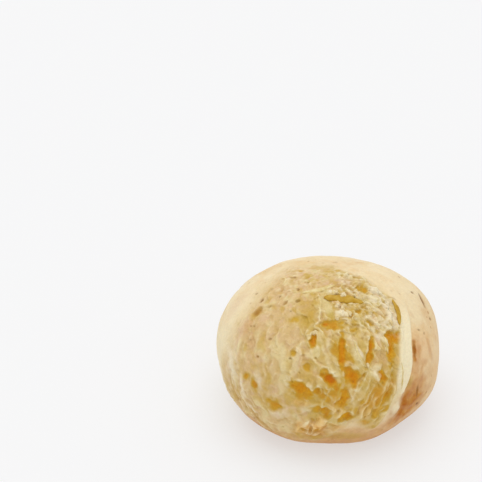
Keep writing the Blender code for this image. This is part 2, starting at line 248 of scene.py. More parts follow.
# Small brown marks, most of them in the crust: oval, depth (mm), darkness.
MARKS = (
    (-47, 19, 2.5, 1.7, 80, 0.45, 0.34), (-49, 27, 1.4, 1.1, 84, 0.4, 0.6),
    (-59, 32, 0.9, 0.7, 0, 0.25, 0.5), (-40, 23, 1.8, 0.9, 20, 0.25, 0.3),
    (-31, 26, 1.6, 0.9, 60, 0.3, 0.3), (-20, 46, 0.7, 0.5, 0, 0.25, 0.4),
    (-16, 36, 0.7, 0.5, 40, 0.25, 0.4), (-37, 31, 0.8, 0.6, 20, 0.25, 0.4),
    (-45, 10, 0.7, 0.5, 0, 0.25, 0.4), (-47, 36, 0.8, 0.6, 10, 0.25, 0.4),
    (-83, 39, 0.9, 0.6, 40, 0.25, 0.5), (-36, 50, 0.8, 0.7, 0, 0.25, 0.5),
    (30, 80, 2.2, 0.6, 6, 0.25, 0.4), (-34, 3, 0.7, 0.6, 0, 0.25, 0.4), (-22, 28, 1.3, 0.9, 30, 0.3, 0.45),
    (-38, 49, 0.7, 0.5, 0, 0.25, 0.5), (50, -2.5, 3.4, 0.6, 88, 0.2, 0.5),
    (57, -24, 2.8, 0.8, 118, 0.25, 0.6), (65, -32, 0.9, 0.8, 0, 0.25, 1), (70, 31, 0.9, 0.7, 0, 0.25, 0.8),
    (73, 14, 0.9, 0.7, 30, 0.2, 0.8), (56, 8, 0.7, 0.5, 0, 0.2, 0.5), (60, 6, 0.9, 0.5, 40, 0.2, 0.5),
    (75, 25, 3.9, 0.8, 62, 0.35, 0.95), (45, 28, 2, 0.4, -50, 0.15, 0.3),
    (118, 24, 0.8, 0.6, 20, 0.2, 0.5), (104, -6, 0.7, 0.5, 70, 0.2, 0.4),
    (141, 8, 1.6, 0.5, 40, 0.25, 0.5), (163, -12, 0.8, 0.7, 0, 0.2, 0.4),
    (-168, 22, 2.2, 0.5, -30, 0.25, 0.5), (-150, -4, 0.7, 0.6, 10, 0.2, 0.5),
    (-128, 16, 0.9, 0.6, 60, 0.25, 0.5), (-136, 38, 0.7, 0.5, 0, 0.2, 0.4),
    (-104, 10, 0.8, 0.6, 30, 0.2, 0.4), (-112, -16, 1.8, 0.6, 70, 0.2, 0.4),
)

# Short open cracks in the crust at the back and sides: width, depth (mm), then bearings and altitudes
# along each.
SLITS = (
    (0.8, 0.4, (201, 5), (205, 4), (208, 1), (212, 0)), (0.6, 0.3, (150, 24), (154, 22), (159, 22)),
    (0.9, 0.4, (-119, 20), (-115, 23), (-113, 28)), (0.6, 0.3, (-151, 38), (-147, 35), (-146, 31)),
    (0.7, 0.3, (122, -8), (126, -10), (129, -9)), (0.6, 0.25, (171, -22), (177, -24), (182, -23)),
)

# Soft brown stains in the crust: oval, strength.
STAINS = (
    (20, -50, 7, 2.2, 5, 0.35), (36, -49, 4, 1.6, 20, 0.5), (-47, 19, 2.6, 1.9, 78, 0.35),
    (-50, 11, 5, 2.4, 84, 0.25), (-44, 5, 6, 3, 80, 0.18), (50, -3, 5, 1.2, 88, 1),
    (52, -6, 8, 2, 82, 0.45), (56, -13, 4.6, 1, 80, 0.45), (64, -14, 4, 3, 40, 0.22),
    (56, -20, 4, 1.6, 70, 0.6), (58, -26, 6, 1.5, 118, 1), (64, -30, 6, 3.4, 100, 0.62),
    (70, 18, 7, 4, 60, 0.18), (-13, -52, 6, 2.4, 0, 0.45), (4, -56, 9, 2.4, 0, 0.4),
)

# ---------------------------------------------------------------- noise

DICE = np.random.default_rng(20)
SHUFFLE = np.tile(DICE.permutation(256), 2)
SLOPES = np.array([(x, y, 0) for x in (-1, 1) for y in (-1, 1)]
                  + [(x, 0, z) for x in (-1, 1) for z in (-1, 1)]
                  + [(0, y, z) for y in (-1, 1) for z in (-1, 1)], float)
JITTER = DICE.random((256, 3))
SHADES = DICE.random(256)


def hashed(corner):
    """A whole number from 0 to 255 for each lattice corner."""
    low = SHUFFLE[corner[:, 0] & 255] + (corner[:, 1] & 255)
    return SHUFFLE[SHUFFLE[low] + (corner[:, 2] & 255)]


def noise(places, period, seed):
    """Smooth noise, about -1 to 1, with one hill or hollow about every period."""
    scaled = places / period + seed * 13.7
    corner = np.floor(scaled).astype(int)
    inside = scaled - corner
    eased = inside**3 * (inside * (inside * 6 - 15) + 10)
    total = np.zeros(len(places))
    for step in np.ndindex(2, 2, 2):
        step = np.array(step)
        slope = SLOPES[hashed(corner + step) % 12]
        weight = np.prod(np.where(step, eased, 1 - eased), axis=1)
        total += weight * np.einsum("ij,ij->i", slope, inside - step)
    return total * 1.4


def layered(places, period, layers, seed):
    """Noise with finer noise on top."""
    total = sum(0.5**i * noise(places, period * 0.5**i, seed + i) for i in range(layers))
    return total / (2 - 0.5 ** (layers - 1))


def cells(places, period, seed):
    """Patches about one period across: the distance to a patch's middle, and a random value for each."""
    scaled = places / period + seed * 7.3
    corner = np.floor(scaled).astype(int)
    first = np.full(len(places), FAR)
    owner = np.zeros(len(places), int)
    for step in np.ndindex(3, 3, 3):
        neighbour = corner + np.array(step) - 1
        mark = hashed(neighbour)
        gap = scaled - neighbour - JITTER[mark]
        distance = np.linalg.norm(gap, axis=1)
        closer = distance < first
        first = np.where(closer, distance, first)
        owner = np.where(closer, mark, owner)
    return first * period, SHADES[owner]


def ease(low, high, value):
    """0 at low, 1 at high, with an eased ramp between. low may be above high."""
    t = np.clip((value - low) / (high - low), 0, 1)
    return t * t * (3 - 2 * t)


def hump(value, half_width):
    """1 where value is 0, falling away over half_width on both sides."""
    return np.exp(-((value / half_width) ** 2))


def dome(distance, radius):
    """The height of a dome, 1 at its middle and 0 from its radius on."""
    return np.sqrt(np.clip(1 - (distance / radius) ** 2, 0, 1))


# ---------------------------------------------------------------- broad form

def towards(bearing, altitude):
    """The unit direction at a bearing, from the front towards +X, and an altitude, in degrees."""
    b, a = math.radians(bearing), math.radians(altitude)
    return np.array((math.sin(b) * math.cos(a), -math.cos(b) * math.cos(a), math.sin(a)))


def on_face(longitude, latitude):
    """The unit direction at a place on the torn face, in degrees."""
    lon, lat = math.radians(longitude), math.radians(latitude)
    level = FACE_RIGHT * math.sin(lon) + FACE_OUT * math.cos(lon)
    return level * math.cos(lat) + FACE_UP * math.sin(lat)


def crowd(directions):
    """Draws directions together round the middle of the torn face, and apart behind it, without shear."""
    facing = directions @ FACE_OUT
    near, far = (1 + facing) * CROWDING**2, 1 - facing
    turned = (near - far) / (near + far)
    aside = directions - facing[:, None] * FACE_OUT
    length = np.linalg.norm(aside, axis=1)
    scale = np.sqrt(np.clip(1 - turned**2, 0, None)) / np.maximum(length, 1e-9)
    return turned[:, None] * FACE_OUT + aside * scale[:, None]


def body_radius(directions):
    """The distance from the centre to the squarish ball, taller above its waist than below."""
    up = directions[:, 2]
    reach = np.where(up > 0, HEIGHT - WAIST_HEIGHT, UNDERSIDE_REACH)
    share = (
        np.abs(directions[:, 0] / (WIDTH / 2)) ** SQUARENESS
        + np.abs(directions[:, 1] / (DEPTH / 2)) ** SQUARENESS
        + np.abs(up / reach) ** SQUARENESS
    )
    return share ** (-1 / SQUARENESS)


def bulge_height(directions):
    """How far the bulges stand out from the squarish ball."""
    height = np.zeros(len(directions))
    for bearing, altitude, spread, rise in BULGES:
        angle = np.degrees(np.arccos(np.clip(directions @ towards(bearing, altitude), -1, 1)))
        height += rise * MM * hump(angle, spread)
    return height


def face_place(directions):
    """Longitude and latitude on the torn face, in degrees."""
    longitude = np.degrees(np.arctan2(directions @ FACE_RIGHT, directions @ FACE_OUT))
    latitude = np.degrees(np.arcsin(np.clip(directions @ FACE_UP, -1, 1)))
    return longitude, latitude


def stretched(places, share, tilt=0):
    """Places squeezed along a way up the torn face, so that noise read there comes out stretched along it.

    A tilt leans the way to the right, in degrees.
    """
    t = math.radians(tilt)
    way = FACE_UP * math.cos(t) + FACE_RIGHT * math.sin(t)
    return places - (1 - share) * (places @ way)[:, None] * way


def warped(places, period, amount, seed):
    """Places pushed about by smooth noise."""
    push = np.column_stack([noise(places, period, seed + i) for i in (1, 2, 3)])
    return places + amount * push


def tilted(middle, tilt):
    """The ways right and up along the surface at a direction from the centre, both turned by a tilt."""
    right = np.cross(FACE_UP, middle)
    right /= np.linalg.norm(right)
    up = np.cross(middle, right)
    t = math.radians(tilt)
    return right * math.cos(t) + up * math.sin(t), up * math.cos(t) - right * math.sin(t)


def pull_way(longitude, latitude):
    """How far the dough was pulled away from straight up, in degrees, leaning to the right."""
    centre = -32 * hump(longitude - 8, 22) * ease(-22, -8, latitude)
    low = 26 * hump(longitude - 20, 22) * ease(-12, -26, latitude)
    top = 70 * ease(26, 44, latitude)
    left = -14 * ease(-30, -60, longitude)
    return centre + low + top + left


class Surface:
    """The ball's surface in some directions from its centre: its height, and what the materials read."""

    def __init__(self, directions):
        self.directions = directions
        self.places = directions * RADIUS
        self.lon, self.lat = face_place(directions)
        self.wobble = layered(self.places, 6 * MM, 3, 40)
        ragged = 0.3 + 0.7 * ease(-16, -30, self.lat)
        self.across = self.across_lip() + ragged * MM * self.wobble
        self.torn = self.torn_share()
        self.hidden = ease(0.1, 0.7, directions[:, 1])
        self.zones()
        self.pocket, self.gold, self.orange, self.rim = self.pockets()
        self.ruffled = warped(self.places, 2 * MM, 0.5 * MM, 50)
        self.strand, self.crest = self.folds()
        self.sheet = self.torn_sheets()
        self.curd = self.curds()
        self.dent, self.mark = self.marks()
        self.pit = self.pits()
        self.slit, self.slit_dark = self.slits()
        self.lip, self.band, self.groove = self.lip_bands()
        self.fine = self.fine_height()

    def across_lip(self):
        """Distance from the lip's crest along the surface, in metres, positive towards the smooth crust."""
        lean = np.where(self.lat < 0, LIP_LEAN_LOW, LIP_LEAN_HIGH)
        crest = LIP_LONGITUDE + lean * self.lat
        return np.radians(self.lon - crest) * RADIUS * np.cos(np.radians(self.lat))

    def torn_share(self):
        """1 in the torn face, 0 on smooth crust."""
        lon, lat, ragged = self.lon, self.lat, 6 * self.wobble
        left = np.interp(lat, *LEFT_EDGE)
        top, bottom = np.interp(lon, *TOP_EDGE), np.interp(lon, *BOTTOM_EDGE)
        return (
            ease(-0.2 * LIP_HALF_WIDTH, -LIP_HALF_WIDTH, self.across)
            * ease(left - 12, left + 18, lon + ragged)
            * ease(top + 10, top - 14, lat + ragged)
            * ease(bottom - 5, bottom + 5, lat + ragged)
        )

    def zones(self):
        """Where the torn face is soft, curdy, pulled into folds, low or rough, and where its top is."""
        lon, lat, ragged = self.lon, self.lat, 7 * self.wobble
        self.soft = ease(-12, -32, lon + ragged)
        self.upper = ease(26, 40, lat + ragged)
        self.curdy = ease(0, 14, lon + ragged) * ease(-4, 12, lat + ragged)
        self.low = ease(-20, -32, lat + ragged)
        pulled = (1 - self.soft) * (1 - self.curdy) * (1 - self.upper)
        self.pulled_high, self.pulled_low = pulled * (1 - self.low), pulled * self.low
        self.rough = ease(-40, -56, lon + ragged) * ease(-10, -26, lat + ragged)

    def blot(self, longitude, latitude, length, width, tilt, ragged, seed):
        """Distance of each place from the middle of a ragged oval, as a share of the way to its edge."""
        middle = on_face(longitude, latitude)
        along, aside = (self.places @ way for way in tilted(middle, tilt))
        out = np.hypot(along / (length * MM / 2), aside / (width * MM / 2))
        near = (self.directions @ middle > 0.6) & (out < 4)
        out[near] += ragged * layered(self.places[near], 1.6 * MM, 2, seed)
        return np.where(near, out, FAR)

    def blots(self, rows, ragged, seed):
        """For each row of a table of ovals: how far out each place is, and what else the row says."""
        for count, (lon, lat, length, width, tilt, *rest) in enumerate(rows):
            yield self.blot(lon, lat, length, width, tilt, ragged, seed + count), rest

    def pockets(self):
        """How deep the pockets are, how golden, how orange, and 1 on the rims of dough round them."""
        depths, gold, orange, rims = np.zeros((4, len(self.places)))
        broken = ease(-0.2, 0.4, noise(self.places, 1.8 * MM, 49))
        for out, (depth, soft, golden, red) in self.blots(POCKETS, 0.6, 0):
            inside = ease(1.15 + 0.5 * soft, 0.55 - 0.4 * min(soft, 1), out)
            depths = np.maximum(depths, depth * MM * inside)
            gold = np.maximum(gold, golden * ease(1.6 + 0.5 * soft, 0.6 - 0.4 * soft, out))
            orange = np.maximum(orange, red * ease(1.15, 0.1, out))
            rim = hump(out - 1.45, 0.22) * broken * ease(0.2, 0.6, depth) * (soft < 1)
            rims = np.maximum(rims, rim)
        return depths, gold, orange, rims * ease(0.3 * MM, 0, depths)

    def marks(self):
        """How deep and how dark the small brown marks are."""
        depths, dark = np.zeros((2, len(self.places)))
        for out, (depth, brown) in self.blots(MARKS, 0.5, 50):
            depths = np.maximum(depths, depth * MM * ease(1.3, 0.3, out))
            dark = np.maximum(dark, brown * ease(1.5, 0.4, out))
        return depths, dark

    def fold(self, route, width, height, side):
        """A fold along a route: steep on one side, broad on the other, fading at both ends."""
        middle = route.mean(axis=0)
        middle /= np.linalg.norm(middle)
        reach = math.acos(min(1, min(route @ middle))) + 4 * width / RADIUS
        near = np.nonzero(self.directions @ middle > math.cos(reach))[0]
        places = self.ruffled[near]
        best = np.full(len(near), FAR)
        share, beside = np.zeros((2, len(near)))
        for i, (start, end) in enumerate(zip(route[:-1] * RADIUS, route[1:] * RADIUS)):
            way = end - start
            t = np.clip((places - start) @ way / (way @ way), 0, 1)
            gap = places - start - t[:, None] * way
            distance = np.linalg.norm(gap, axis=1)
            closer = distance < best
            best = np.where(closer, distance, best)
            share = np.where(closer, (i + t) / (len(route) - 1), share)
            beside = np.where(closer, side * (gap @ np.cross(way, middle)), beside)
        taper = np.clip(4 * share * (1 - share), 0, 1) ** 0.5
        crest = hump(best, 0.55 * width * (0.4 + 0.6 * taper))
        flank = np.where(beside > 0, hump(best, 2.2 * width), crest)
        return near, height * taper * (0.45 * crest + 0.55 * flank), taper * crest

    def folds(self):
        """The folds and fibres of the tables, and finer folds strewn along the way the dough was pulled."""
        height, crests = np.zeros((2, len(self.places)))
        fibres = [(FIBRE_WIDTH, FIBRE_HEIGHT, (x, y), (x - 3, y - 6), (x - 7, y - 14)) for x, y in FIBRES]
        for count, (width, rise, *route) in enumerate([*STRANDS, *fibres]):
            directions = smooth_route(np.array([on_face(*place) for place in route]))
            near, fold, crest = self.fold(directions, width * MM, rise * MM, (-1) ** count)
            height[near] = np.maximum(height[near], fold)
            crests[near] = np.maximum(crests[near], crest)
        random = np.random.default_rng(STRAND_SEED)
        for count in range(STRAND_COUNT):
            lon, lat = random.uniform(-80, 40), random.uniform(-48, 54)
            route = [on_face(lon, lat)]
            lean = pull_way(lon, lat) + random.normal(0, 16)
            curl = random.normal(0, 7)
            length = random.uniform(0.4, 0.9) * MM
            for _ in range(5):
                _, way = tilted(route[-1], -lean)
                step = route[-1] + way * length / RADIUS
                route.append(step / np.linalg.norm(step))
                lean += curl
            width, rise = random.uniform(0.35, 0.9) * MM, random.uniform(0.06, 0.2) * MM
            near, fold, crest = self.fold(np.array(route), width, rise, (-1) ** count)
            height[near] += fold
            crests[near] = np.maximum(crests[near], crest * rise / (0.4 * MM))
        return height, crests

    def grain(self, period, stretch, tilt, seed):
        """Noise drawn out along a way up the torn face that leans to the right."""
        return noise(stretched(self.ruffled, stretch, tilt), period * MM, seed)

    def sheets(self, period, stretch, tilt, seed, edge):
        """Torn sheets over each other: each rises steeply at a ragged edge and sinks slowly behind it."""
        places = stretched(self.ruffled, stretch, tilt)
        wave = noise(places, period, seed) + 0.3 * noise(places, 0.4 * period, seed + 1)
        away = wave * period / 1.6
        behind = 0.35 + 0.65 * np.exp(-np.maximum(away, 0) / (0.3 * period))
        return np.where(away > 0, behind, ease(-edge, 0, away))

    def curds(self):
        """Small lumps of two sizes in the curdy zone, drawn out a little, and some larger ones."""
        places = stretched(warped(self.places, 1.4 * MM, 0.7 * MM, 15), 0.55, -38)
        big, shade = cells(places, CURD_SIZE, 4)
        small, speck = cells(places, GRAIN_SIZE, 5)
        height = CURD_HEIGHT * dome(big, CURD_RADIUS) * ease(0.25, 1, shade)
        height += GRAIN_HEIGHT * dome(small, GRAIN_RADIUS) * ease(0.3, 1, speck)
        height *= self.curdy * (1 - 0.5 * self.upper)
        for out, (rise,) in self.blots(CURDS, 0.7, 80):
            height = np.maximum(height, rise * MM * np.sqrt(np.clip(1.1 - out, 0, 1)))
        return height

    def torn_sheets(self):
        """The torn sheets of dough, turned in each zone the way the dough was pulled there."""
        height = np.zeros(len(self.places))
        for period, stretch, tilt, seed, edge, share, rise in (
            (6, 0.42, -28, 21, 0.5, self.pulled_high, 0.42),
            (3.4, 0.42, -36, 24, 0.35, self.pulled_high, 0.24),
            (5, 0.42, 24, 27, 0.45, self.pulled_low, 0.38),
            (2.8, 0.45, 34, 31, 0.3, self.pulled_low, 0.24),
            (5, 0.3, -6, 34, 1.2, self.soft, 0.2),
            (2.6, 0.34, -10, 37, 0.5, self.soft, 0.12),
            (3, 0.4, 50, 61, 0.4, self.rough, 0.3),
            (2.8, 0.6, -50, 41, 0.3, self.curdy, 0.36),
            (1.5, 0.6, -30, 43, 0.18, self.curdy, 0.2),
            (5, 0.6, 75, 44, 1.2, self.upper, 0.16),
            (1.7, 0.6, 0, 47, 0.25, 1, 0.12),
        ):
            height += share * rise * MM * self.sheets(period * MM, stretch, tilt, seed, edge * MM)
        return height

    def pits(self):
        """1 in small round holes, which come in flocks."""
        middle, shade = cells(self.places, PIT_SPACING, 8)
        size = PIT_SPACING * (0.12 + 0.1 * ((shade * 11) % 1))
        flock = noise(self.places, 9 * MM, 70) + 0.5 * self.torn * (self.upper + self.soft)
        holes = np.where(shade < 0.5, ease(size, 0.4 * size, middle), 0)
        return ease(0, 0.5, flock) * holes * (0.3 + 0.7 * self.torn)

    def slits(self):
        """The open cracks in the smooth crust: how deep, and 1 along the middle of each."""
        depths, dark = np.zeros((2, len(self.places)))
        for width, depth, *route in SLITS:
            directions = smooth_route(np.array([towards(*place) for place in route]))
            near, _, middle = self.fold(directions, width * MM, depth * MM, 1)
            depths[near] = np.maximum(depths[near], depth * MM * middle)
            dark[near] = np.maximum(dark[near], middle)
        return depths, dark

    def lip_bands(self):
        """1 on the lip's crest, 1 in its pale band, and 1 in the groove beside it."""
        along = ease(LIP_TOP + 8, LIP_TOP - 8, self.lat)
        along *= ease(LIP_BOTTOM - 4, LIP_BOTTOM + 10, self.lat)
        whole = ease(-30, -14, self.lat)
        across = self.across / (0.65 + 0.35 * whole)
        inner = ease(-LIP_HALF_WIDTH, -0.4 * LIP_HALF_WIDTH, across)
        lip = along * inner * ease(1.3 * LIP_HALF_WIDTH, 0.8 * LIP_HALF_WIDTH, across)
        torn_up = (1 - whole) * ease(-0.4, 0.3, noise(self.ruffled, 2.2 * MM, 46))
        lip *= 1 - 0.6 * torn_up
        band = along * ease(-2.2 * MM, -1.3 * MM, across) * ease(2.5 * MM, 1.9 * MM, across)
        band *= ease(30, 8, self.lat) * (1 - 0.8 * torn_up)
        groove = along * hump(self.across + GROOVE_OFFSET, GROOVE_HALF_WIDTH)
        groove *= 0.5 + 0.5 * ease(-0.4, 0.4, noise(self.places, 5 * MM, 45))
        return lip, band, groove

    def grit(self):
        """Small lumps and wrinkles all over the torn face, drawn out the way the dough was pulled."""
        height = np.zeros(len(self.places))
        for period, stretch, tilt, seed, share, rise in (
            (1.3, 0.35, -26, 35, self.pulled_high, 0.17),
            (1.2, 0.4, 28, 36, self.pulled_low, 0.21),
            (1.5, 0.45, -8, 37, self.soft * (1 - self.rough), 0.15),
            (1.3, 0.3, 42, 38, self.rough, 0.22),
            (1.1, 0.6, -40, 39, self.curdy, 0.26),
            (1.5, 0.8, 20, 40, self.upper, 0.18),
            (0.75, 0.7, 0, 41, 0.6 + 0.9 * self.curdy + 0.3 * self.upper, 0.13),
        ):
            height += share * rise * MM * self.grain(period, stretch, tilt, seed)
        return height

    def fine_height(self):
        """The height of everything finer than the broad form and the lip."""
        mounds = noise(stretched(self.places, 0.6), 4.6 * MM, 30)
        torn = (
            self.sheet
            + self.strand * (1 - 0.3 * self.curdy)
            + self.curd
            + (MOUND_HEIGHT + SOFT_MOUND_HEIGHT * self.soft) * mounds
            + RIM_HEIGHT * self.rim
            + self.grit()
            - TORN_PIT_DEPTH * self.pit
        )
        skin = (
            SKIN_WAVE * layered(self.places, 9 * MM, 2, 80)
            + SKIN_RIPPLE * layered(stretched(self.places, 0.5), 2.2 * MM, 2, 84)
            - SKIN_PIT_DEPTH * self.pit
            + BACK_LUMP * self.hidden * layered(self.places, 13 * MM, 2, 88)
            - self.slit
        )
        sunk = np.clip(self.pocket / (0.6 * MM), 0, 1) * (1 - 0.7 * self.crest)
        torn = torn * (1 - 0.5 * sunk) * ease(86, 48, self.lat) - 0.75 * self.pocket
        return self.torn * torn + (1 - self.torn) * skin - self.dent

    def rims(self):
        """The lip with its groove and crease, and the fold at the foot of the torn face."""
        crease = CREASE_DEPTH * hump(self.across - CREASE_OFFSET, CREASE_HALF_WIDTH)
        foot = ease(LIP_BOTTOM - 4, LIP_BOTTOM + 10, self.lat)
        crease *= ease(16, 4, self.lat) * foot
        away = np.radians(self.lat - np.interp(self.lon, *BOTTOM_EDGE)) * RADIUS
        across = ease(-40, -20, self.lon) * ease(46, 32, self.lon)
        fold = across * FOLD_HEIGHT * hump(away, FOLD_HALF_WIDTH)
        return LIP_HEIGHT * self.lip - GROOVE_DEPTH * self.groove - crease + fold

    def points(self):
        """Points on the surface, above a flat underside at z = 0."""
        swell = FACE_SWELL * self.torn * ease(66, 40, self.lat)
        height = bulge_height(self.directions) + self.rims() + swell + self.fine
        points = self.directions * (body_radius(self.directions) + height)[:, None]
        points[:, 2] += WAIST_HEIGHT
        return stood(points)


def smooth_route(places, steps=4):
    """A smooth curve through some directions, as directions."""
    ends = np.vstack((2 * places[0] - places[1], places, 2 * places[-1] - places[-2]))
    route = []
    for a, b, c, d in zip(ends[:-3], ends[1:-2], ends[2:-1], ends[3:]):
        for t in np.arange(steps) / steps:
            route.append(0.5 * (2 * b + (c - a) * t + (2 * a - 5 * b + 4 * c - d) * t**2
                                + (3 * b - a - 3 * c + d) * t**3))
    route = np.array([*route, places[-1]])
    return route / np.linalg.norm(route, axis=1)[:, None]


def stood(points):
    """Lays what would be below z = 0 flat on it, with a rounded edge round the foot."""
    z = points[:, 2]
    rounded = (z + FOOT_ROUNDING) ** 2 / (4 * FOOT_ROUNDING)
    flat = np.where(z < -FOOT_ROUNDING, 0, np.where(z < FOOT_ROUNDING, rounded, z))
    return np.column_stack((points[:, :2], flat))


class Ground:
    """Where the finished surface is: scaled so that the ball's box is the CAD solid's box."""

    def __init__(self, points):
        self.low, self.high = points.min(axis=0), points.max(axis=0)

    def fitted(self, points):
        """Points scaled and shifted as the whole surface is."""
        return BALL_LOW + (points - self.low) * ((BALL_HIGH - BALL_LOW) / (self.high - self.low))

    def at(self, directions):
        """The places on the surface in some directions from the ball's centre."""
        return self.fitted(Surface(directions).points())


# ---------------------------------------------------------------- materials

def linear(red, green, blue):
    """A colour given as 0 to 255 on screen, as the linear values that shaders take."""
    share = np.array((red, green, blue)) / 255
    value = np.where(share <= 0.04045, share / 12.92, ((share + 0.055) / 1.055) ** 2.4)
    return (*value.tolist(), 1)


class Nodes:
    """A short way to write a material's nodes."""

    def __init__(self, name):
        self.material = bpy.data.materials.new(name)
        self.material.use_nodes = True
        self.tree = self.material.node_tree
        self.shader = self.tree.nodes["Principled BSDF"]
        self.where = self.node("TexCoord", "Object", {})

    def node(self, kind, output, inputs, **settings):
        """One output of a new node with these settings and inputs."""
        node = self.tree.nodes.new("ShaderNode" + kind)
        for name, value in settings.items():
            setattr(node, name, value)
        for name, value in inputs.items():
            self.put(value, node.inputs[name])
        return node.outputs[output]

    def put(self, value, socket):
        """Sets a socket to a number or colour, or links another node's output to it."""
        if isinstance(value, bpy.types.NodeSocket):
            self.tree.links.new(value, socket)
        else:
            socket.default_value = value

    def set(self, name, value):
        """Sets or links one of the shader's own inputs."""
        self.put(value, self.shader.inputs[name])

    def attribute(self, name):
        return self.node("Attribute", "Fac", {}, attribute_name=name)

    def noise(self, period, detail=2, rough=0.5):
        inputs = {"Vector": self.where, "Scale": 1 / period, "Detail": detail, "Roughness": rough}
        return self.node("TexNoise", "Fac", inputs)

    def cells(self, period, output="Distance", feature="F1"):
        return self.node("TexVoronoi", output, {"Vector": self.where, "Scale": 1 / period}, feature=feature)

    def maths(self, operation, first, second):
        return self.node("Math", 0, {0: first, 1: second}, operation=operation)

    def times(self, first, second):
        return self.maths("MULTIPLY", first, second)

    def ramp(self, value, low, high, to_low=0, to_high=1):
        limits = {"From Min": low, "From Max": high, "To Min": to_low, "To Max": to_high}
        return self.node("MapRange", "Result", {"Value": value, **limits})

    def mix(self, share, first, second, blend="MIX"):
        """Two colours mixed, each another node's output or three numbers from 0 to 255."""
        inputs = {"Factor": share, "A": first, "B": second}
        for name in "AB":
            if isinstance(inputs[name], tuple):
                inputs[name] = linear(*inputs[name])
        return self.node("Mix", "Result", inputs, data_type="RGBA", blend_type=blend)

    def bump(self, height, distance, before=None):
        inputs = {"Height": height, "Distance": distance}
        if before is not None:
            inputs["Normal"] = before
        return self.node("Bump", "Normal", inputs)


def freckles(n):
    """Small brown specks, which come in flocks."""
    size = n.ramp(n.cells(1.9 * MM, "Color"), 0.4, 0.75, 0, 0.28)
    inside = n.maths("SUBTRACT", size, n.cells(1.9 * MM))
    flock = n.ramp(n.noise(9 * MM, 1), 0.46, 0.6, 0, 0.6)
    return n.times(n.ramp(inside, 0, 0.1), flock)


def crackle(n):
    """1 in fine shallow wrinkles between small plates of crust, in patches."""
    edge = n.ramp(n.cells(2.4 * MM, feature="DISTANCE_TO_EDGE"), 0.06, 0)
    return n.times(edge, n.ramp(n.noise(7 * MM), 0.45, 0.65))


def baked_material():
    """Dough and crust, coloured by the surface's attributes."""
    n = Nodes("baked_dough")
    torn, relief, gold = n.attribute("torn"), n.attribute("relief"), n.attribute("gold")
    orange, mark, toast_and_foot_shade, pale = (n.attribute(name) for name in ("orange", "mark", "toast_and_foot_shade", "pale"))
    broad, small, fine = n.noise(9 * MM), n.noise(1.7 * MM), n.noise(0.6 * MM, 3)

    skin = n.mix(n.ramp(broad, 0.35, 0.65), (242, 223, 184), (236, 213, 168))
    patch = n.ramp(n.noise(7 * MM, 3, 0.6), 0.48, 0.66, 0, 0.55)
    skin = n.mix(patch, skin, (232, 196, 140))
    # Tan: the crust's own tan, with painted shade towards the foot.
    skin = n.mix(n.attribute("tan"), skin, (234, 194, 142))
    skin = n.mix(freckles(n), skin, (176, 122, 66))
    colour = n.mix(torn, skin, (220, 190, 122))
    # Painted shade: darker olive in the hollows of the torn face, the deeper the darker.
    colour = n.mix(n.ramp(relief, 0, -1.1), colour, (178, 138, 66))
    for name, tint in (("olive", (200, 172, 84)), ("pink", (225, 189, 152)), ("cream", (234, 218, 164))):
        colour = n.mix(n.times(n.attribute(name), 0.8), colour, tint)
    # Painted highlight: paler cream on the raised parts of the torn face, the higher the paler.
    colour = n.mix(n.ramp(relief, 0.1, 1.2), colour, (248, 232, 184))
    colour = n.mix(n.times(n.attribute("white"), 0.85), colour, (248, 236, 210))
    colour = n.mix(n.ramp(gold, 0, 0.5), colour, (204, 166, 62))
    # The peach tint is the dough's own colour; it is darker in its hollows and lighter on its raised parts,
    # which is painted shade and painted highlight.
    peach = n.mix(n.ramp(relief, -0.5, 0.6), (204, 142, 54), (248, 198, 112))
    colour = n.mix(n.times(n.attribute("peach"), 0.8), colour, peach)
    golden = n.mix(n.ramp(small, 0.3, 0.7), (202, 130, 0), (226, 170, 30))
    colour = n.mix(n.ramp(gold, 0.35, 1), colour, golden)
    colour = n.mix(orange, colour, (210, 120, 0))
    # Browned crust, with painted shade towards the foot.
    brown = n.mix(n.ramp(small, 0.35, 0.65), (182, 104, 22), (200, 138, 52))
    colour = n.mix(toast_and_foot_shade, colour, brown)
    colour = n.mix(mark, colour, (136, 88, 40))
    # Pale: the lip's band, the curds and the rims of the pockets, with painted highlight on crests of the
    # folds and painted light on the left flank.
    colour = n.mix(pale, colour, (248, 236, 200))
    shade = n.mix(n.ramp(fine, 0.2, 0.8), (226, 222, 214), (255, 255, 255))
    colour = n.mix(0.5, colour, shade, "MULTIPLY")
    n.set("Base Color", colour)

    rough = n.ramp(fine, 0.3, 0.7, 0.5, 0.66)
    n.set("Roughness", n.maths("SUBTRACT", rough, n.times(gold, 0.15)))
    grain = n.bump(n.times(fine, n.ramp(torn, 0, 1, 0.4, 1)), 0.28 * MM)
    dents = n.times(n.times(crackle(n), n.ramp(torn, 0.5, 0)), -1)
    plates = n.bump(dents, 0.05 * MM, grain)
    n.set("Normal", n.bump(small, 0.1 * MM, plates))
    n.set("Subsurface Weight", 0.08)
    n.set("Subsurface Radius", (1, 0.75, 0.45))
    n.set("Subsurface Scale", 0.6 * MM)
    n.set("Specular IOR Level", 0.15)
    return n.material


def crumb_material(name, dark, light, gloss):
    """Cheese or dough in small pieces: mottled between two colours."""
    n = Nodes(name)
    small, fine = n.noise(1.2 * MM), n.noise(0.45 * MM, 3)
    colour = n.mix(n.ramp(small, 0.35, 0.65), dark, light)
    shade = n.mix(fine, (226, 222, 212), (255, 255, 255))
    n.set("Base Color", n.mix(0.5, colour, shade, "MULTIPLY"))
    n.set("Roughness", n.ramp(fine, 0.3, 0.7, 0.4, 0.56))
    n.set("Normal", n.bump(fine, 0.06 * MM))
    n.set("Specular IOR Level", gloss)
    return n.material


# ---------------------------------------------------------------- pieces

def placed(name, data):
    """A new object in the scene."""
    thing = bpy.data.objects.new(name, data)
    bpy.context.scene.collection.objects.link(thing)
    return thing


def new_piece(name, corners, faces, material):
    """An object with a smooth mesh of one material."""
    mesh = bpy.data.meshes.new(name)
    mesh.from_pydata(corners, [], faces)
    mesh.shade_smooth()
    mesh.materials.append(material)
    return placed(name, mesh)


